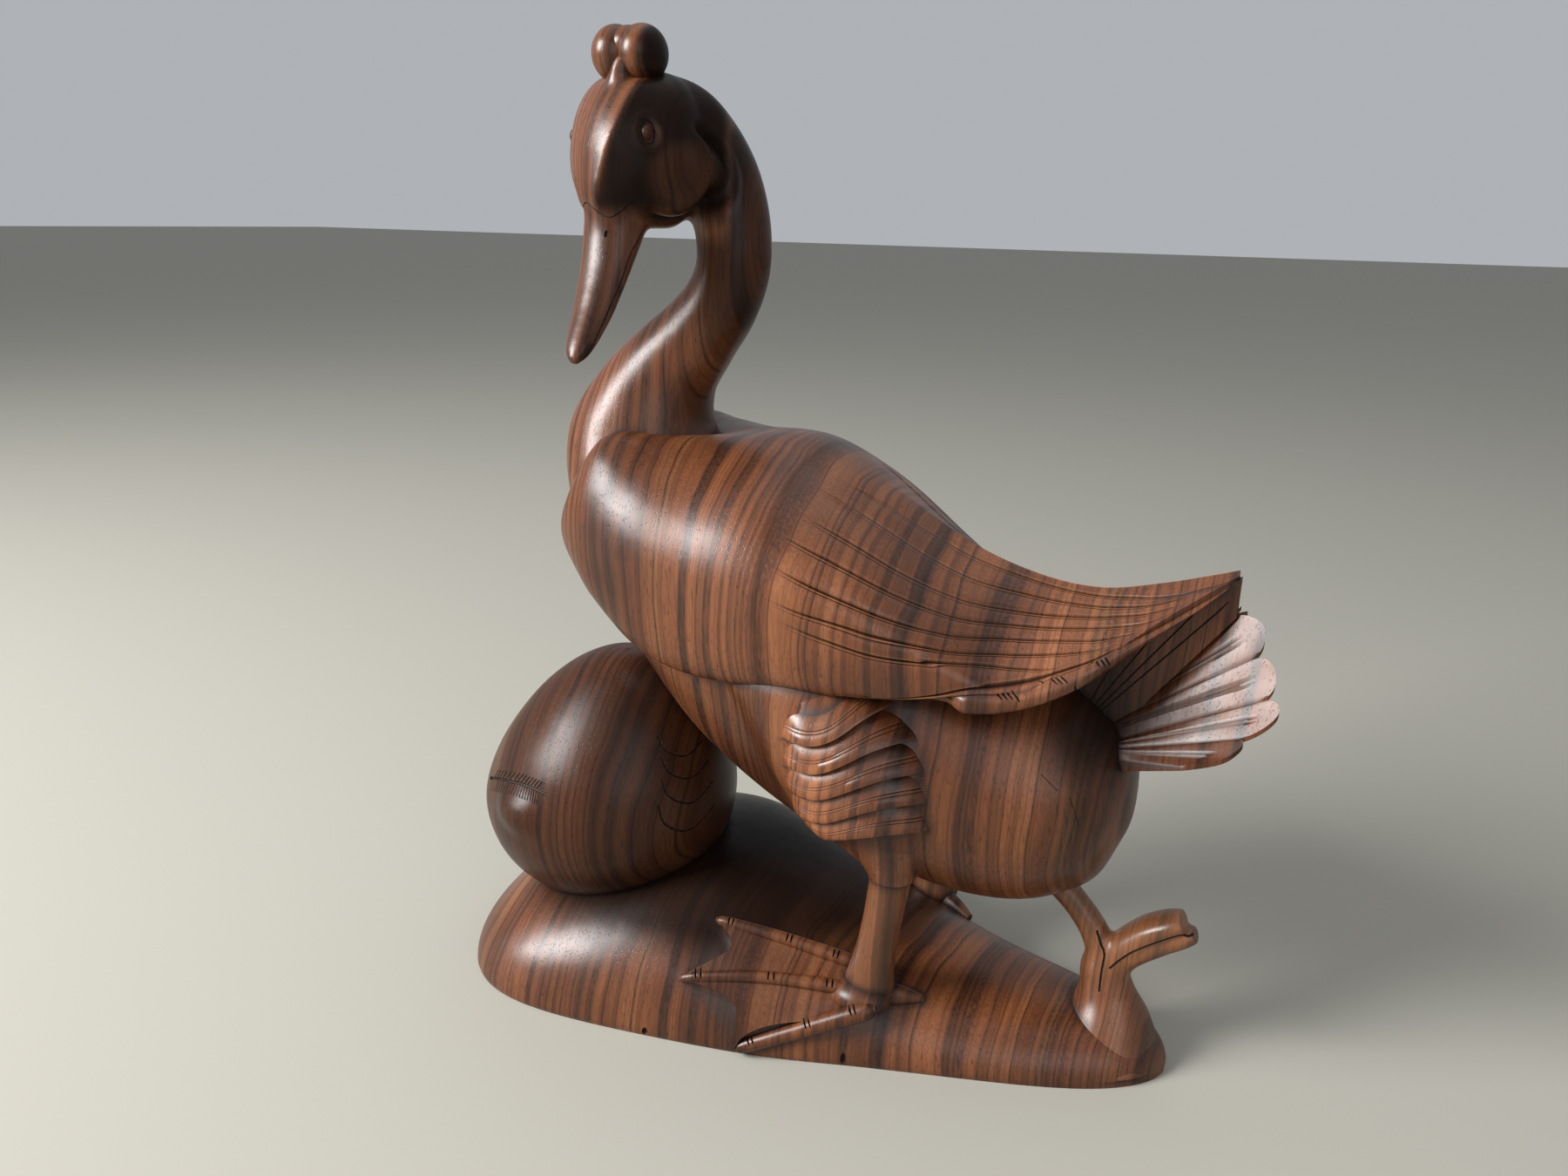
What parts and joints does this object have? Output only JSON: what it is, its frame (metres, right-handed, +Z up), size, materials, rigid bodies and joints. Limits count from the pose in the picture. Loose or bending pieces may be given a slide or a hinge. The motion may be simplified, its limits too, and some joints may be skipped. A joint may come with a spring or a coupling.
{
  "type": "carved wooden goose figurine",
  "caption": "Hardwood carving of a long-necked goose with folded wings on a domed base, a curled gosling under its breast and a forked branch behind; it stands on its flat underside.",
  "frame": {"origin": "on the flat underside of the mound, below the middle of the carving", "axes": "+Z up; the goose faces -X, its tail is towards +X, and its left side, the one its head turns to, faces -Y"},
  "size_m": [0.3436, 0.177, 0.4045],
  "materials": {
    "goose_carving": "polished dark streaked hardwood, satin"
  },
  "bodies": {
    "root": {"goose_carving": "goose_carving"}
  },
  "joints": []
}
